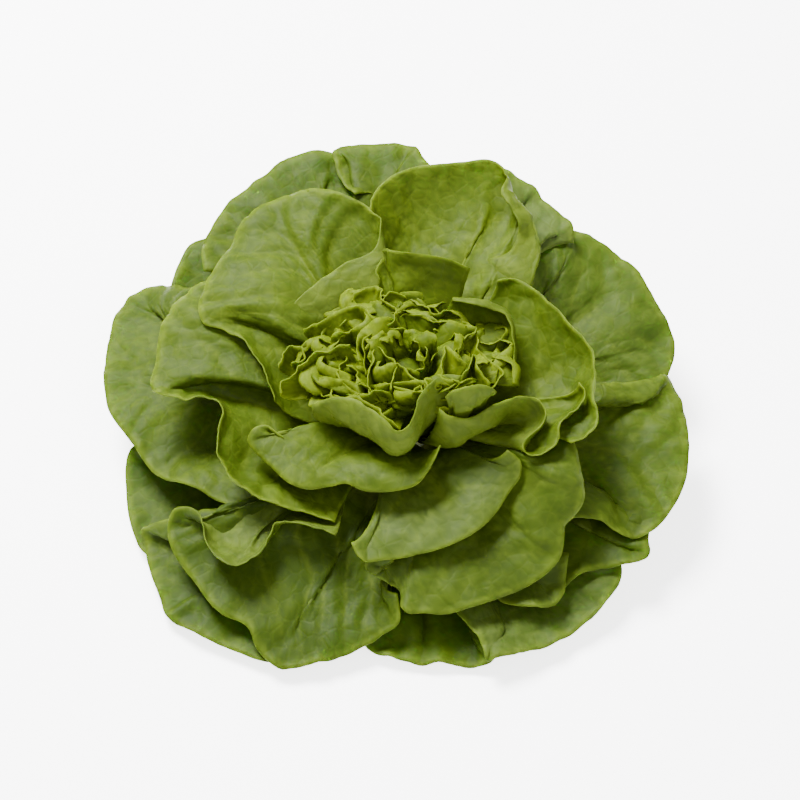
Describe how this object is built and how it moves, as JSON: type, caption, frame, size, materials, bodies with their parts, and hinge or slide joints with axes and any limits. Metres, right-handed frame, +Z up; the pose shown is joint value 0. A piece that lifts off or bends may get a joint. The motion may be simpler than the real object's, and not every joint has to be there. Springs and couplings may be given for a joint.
{
  "type": "butterhead lettuce",
  "caption": "Round head of butterhead lettuce: an open rosette of broad soft leaves round a packed crinkled heart on a short trimmed stem.",
  "frame": {"origin": "centre of the stem's flat cut face, on the table", "axes": "+Z up through the heart; -Y towards the side that the picture is taken from; +X to the picture's right"},
  "size_m": [0.2591, 0.246, 0.0868],
  "materials": {
    "outer_leaf": "soft, slightly waxy mid-green leaf with lighter ribs",
    "wrapper_leaf": "soft, slightly waxy yellow-green leaf with pale rims",
    "heart": "soft yellow-green crinkled leaf",
    "stem": "pale, matt cut stem"
  },
  "bodies": {
    "root": {"outer_leaf_01": "outer_leaf", "outer_leaf_02": "outer_leaf", "outer_leaf_03": "outer_leaf", "outer_leaf_04": "outer_leaf", "outer_leaf_05": "outer_leaf", "outer_leaf_06": "outer_leaf", "outer_leaf_07": "outer_leaf", "outer_leaf_08": "outer_leaf", "outer_leaf_09": "outer_leaf", "outer_leaf_10": "outer_leaf", "outer_leaf_11": "outer_leaf", "outer_leaf_12": "outer_leaf", "outer_leaf_13": "outer_leaf", "outer_leaf_14": "outer_leaf", "outer_leaf_15": "outer_leaf", "wrapper_leaf_01": "wrapper_leaf", "wrapper_leaf_02": "wrapper_leaf", "wrapper_leaf_03": "wrapper_leaf", "wrapper_leaf_04": "wrapper_leaf", "wrapper_leaf_05": "wrapper_leaf", "wrapper_leaf_06": "wrapper_leaf", "wrapper_leaf_07": "wrapper_leaf", "wrapper_leaf_08": "wrapper_leaf", "wrapper_leaf_09": "wrapper_leaf", "wrapper_leaf_10": "wrapper_leaf", "wrapper_leaf_11": "wrapper_leaf", "heart": "heart", "stem": "stem"}
  },
  "joints": []
}
